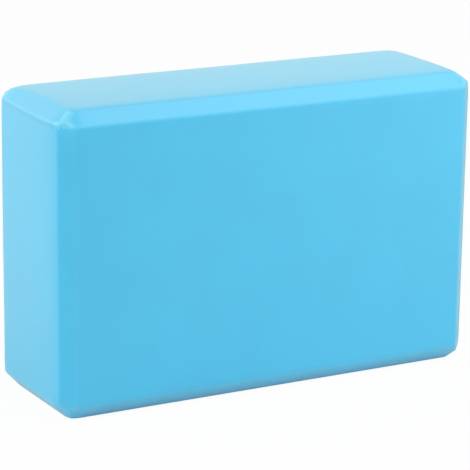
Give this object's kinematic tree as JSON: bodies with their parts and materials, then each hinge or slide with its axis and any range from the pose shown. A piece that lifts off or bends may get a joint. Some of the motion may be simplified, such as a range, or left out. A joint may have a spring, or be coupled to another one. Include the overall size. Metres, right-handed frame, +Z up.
{
  "type": "foam exercise block",
  "caption": "Rectangular closed-cell foam block with bevelled, softly rounded edges, standing on its long narrow face; a prop for stretching and floor exercise.",
  "frame": {"origin": "middle of the long narrow face that the block stands on", "axes": "+X along the block's length, +Y through its thickness from the front face to the back face, +Z up through its height"},
  "size_m": [0.229, 0.076, 0.151],
  "materials": {
    "block_foam": "matte"
  },
  "bodies": {
    "root": {"foam_block": "block_foam"}
  },
  "joints": []
}
